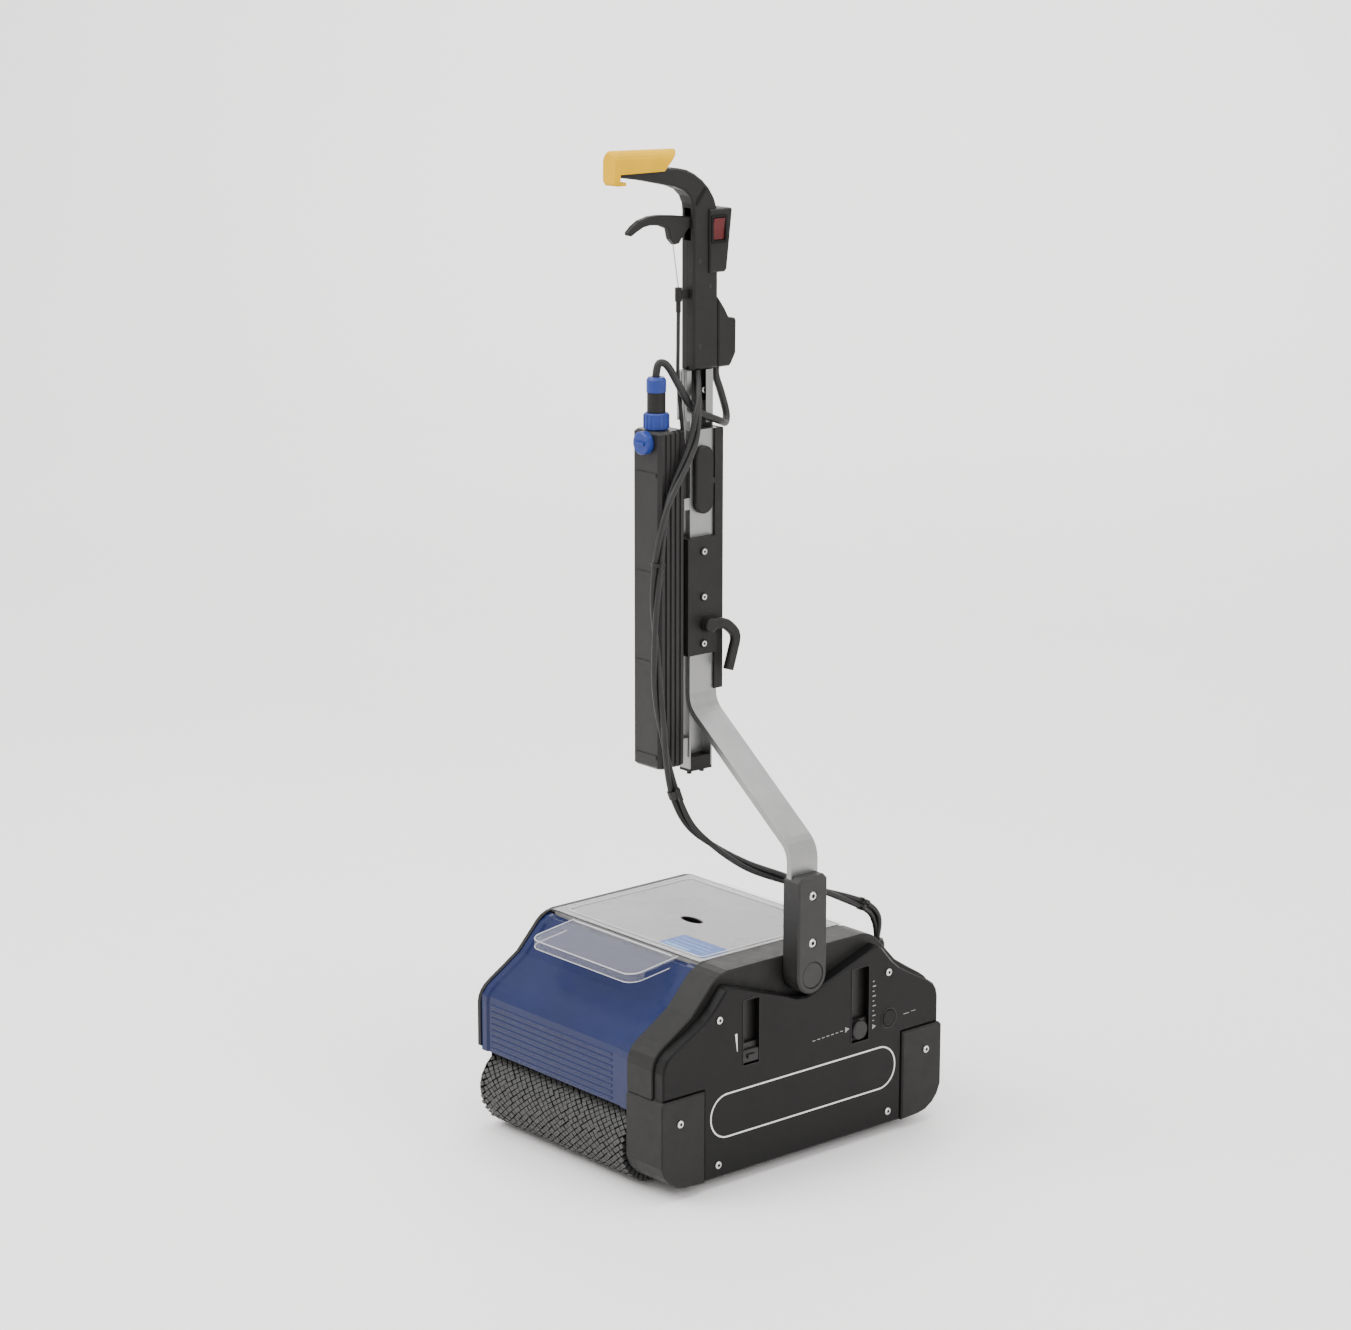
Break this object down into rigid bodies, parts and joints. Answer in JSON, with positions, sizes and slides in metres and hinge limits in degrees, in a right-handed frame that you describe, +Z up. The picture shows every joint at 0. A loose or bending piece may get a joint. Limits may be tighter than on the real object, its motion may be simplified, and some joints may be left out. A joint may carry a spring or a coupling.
{
  "type": "upright floor scrubber",
  "caption": "Upright cylindrical-brush floor scrubber with clear-lidded tank, blue hoods, side-mounted bent arm, sliding mast, battery pack, trigger and hooked yellow grip.",
  "frame": {"origin": "centre of the bounding box at floor level, below the brushes", "axes": "+Z up; +X to the side that carries the arm; -Y to the front, the way the grip points"},
  "size_m": [0.358, 0.46, 1.195],
  "materials": {
    "black": "fine grain",
    "gloss_black": "polished",
    "blue": "glossy",
    "clear": "clear",
    "bristle": "tufted nylon",
    "aluminium": "satin",
    "steel": "bright",
    "yellow": "satin",
    "connector": "satin",
    "red": "satin",
    "rubber": "matt",
    "grey": "moulded",
    "battery": "moulded, cells inside"
  },
  "bodies": {
    "base": {"gear_housing": "black", "side_cover_right": "gloss_black", "heel_cover_front": "black", "heel_cover_rear": "black", "side_plate_left": "black", "base_pan": "grey", "motor": "steel", "belt_front": "rubber", "belt_rear": "rubber", "belt_drum": "rubber", "front_hood": "blue", "rear_hood": "blue", "water_tank": "clear", "tank_lid": "clear", "finger_cup": "gloss_black", "cover_screw_front_top": "steel", "cover_screw_rear_top": "steel", "cover_screw_front_low": "steel", "cover_screw_rear_low": "steel", "heel_screw_front": "steel", "heel_screw_rear": "steel", "pivot_shaft": "steel"},
    "arm": {"arm_shoe": "black", "arm_bar": "aluminium", "shoe_screw_lower": "steel", "shoe_screw_upper": "steel", "rear_rail": "black", "clamp_bracket": "black", "oval_cover": "black"},
    "mast": {"mast_channel": "aluminium", "mast_end_cap": "black", "mast_bolt": "steel", "battery_case": "battery", "battery_gauge": "connector", "plug_ring": "connector", "plug_body": "black", "plug_cap": "connector", "head_shell_left": "black", "head_shell_right": "black", "grip_cover": "yellow", "trigger_wire": "steel", "cable_adjuster": "black", "bowden_cable": "rubber", "switch_box": "black", "lower_box": "black", "battery_lead": "rubber", "main_cable": "rubber"},
    "front_brush": {"front_brush_core": "grey", "front_brush_bristles": "bristle"},
    "rear_brush": {"rear_brush_core": "grey", "rear_brush_bristles": "bristle"},
    "motor_drive": {"motor_pulley": "steel"},
    "lay_shaft": {"lay_pulley": "steel"},
    "drum": {"pickup_drum": "rubber"},
    "pressure_slider": {"pressure_lever": "gloss_black"},
    "flow_slider": {"flow_knob": "gloss_black"},
    "button": {"push_button": "gloss_black"},
    "clamp": {"clamp_lever": "black"},
    "trigger": {"trigger_lever": "black"},
    "rocker": {"rocker_switch": "red"}
  },
  "joints": [
    {"name": "handle_tilt", "type": "hinge", "parent": "base", "child": "arm", "pos_m": [0, 0, 0.235], "axis": [1, 0, 0], "range_deg": [-65, 65], "deforming": ["main_cable"]},
    {"name": "handle_height", "type": "slide", "parent": "arm", "child": "mast", "axis": [0, 0, 1], "range_m": [0, 0.1], "deforming": ["main_cable"]},
    {"name": "clamp_swing", "type": "hinge", "parent": "arm", "child": "clamp", "pos_m": [0, -0.004, 0.6286], "axis": [1, 0, 0], "range_deg": [0, 95]},
    {"name": "trigger_pull", "type": "hinge", "parent": "mast", "child": "trigger", "pos_m": [-0.037, -0.0005, 1.105], "axis": [-1, 0, 0], "range_deg": [0, 18], "stiffness_Nm_per_rad": 0.6, "springref_deg": -8.59, "deforming": ["trigger_wire"]},
    {"name": "rocker_tip", "type": "hinge", "parent": "mast", "child": "rocker", "pos_m": [-0.0235, 0.0262, 1.096], "axis": [0, -1, 0], "range_deg": [0, 10]},
    {"name": "front_brush_spin", "type": "hinge", "parent": "base", "child": "front_brush", "pos_m": [0, -0.18, 0.05], "axis": [1, 0, 0], "continuous": true},
    {"name": "rear_brush_spin", "type": "hinge", "parent": "base", "child": "rear_brush", "pos_m": [0, 0.18, 0.05], "axis": [1, 0, 0], "continuous": true},
    {"name": "motor_spin", "type": "hinge", "parent": "base", "child": "motor_drive", "pos_m": [0, -0.025, 0.148], "axis": [1, 0, 0], "continuous": true},
    {"name": "lay_spin", "type": "hinge", "parent": "base", "child": "lay_shaft", "pos_m": [0, 0.025, 0.148], "axis": [1, 0, 0], "continuous": true},
    {"name": "drum_spin", "type": "hinge", "parent": "base", "child": "drum", "pos_m": [0, 0, 0.053], "axis": [1, 0, 0], "continuous": true},
    {"name": "pressure_slide", "type": "slide", "parent": "base", "child": "pressure_slider", "axis": [0, 0, 1], "range_m": [0, 0.05]},
    {"name": "flow_slide", "type": "slide", "parent": "base", "child": "flow_slider", "axis": [0, 0, 1], "range_m": [0, 0.06]},
    {"name": "button_press", "type": "slide", "parent": "base", "child": "button", "axis": [-1, 0, 0], "range_m": [0, 0.0025], "stiffness_N_per_m": 300, "springref_m": -0.0015}
  ],
  "couplings": [
    {"joint": "rear_brush_spin", "follows": "front_brush_spin", "ratio": -1},
    {"joint": "motor_spin", "follows": "front_brush_spin", "ratio": 1.4667},
    {"joint": "lay_spin", "follows": "front_brush_spin", "ratio": -1.4667},
    {"joint": "drum_spin", "follows": "front_brush_spin", "ratio": -1.2222}
  ]
}
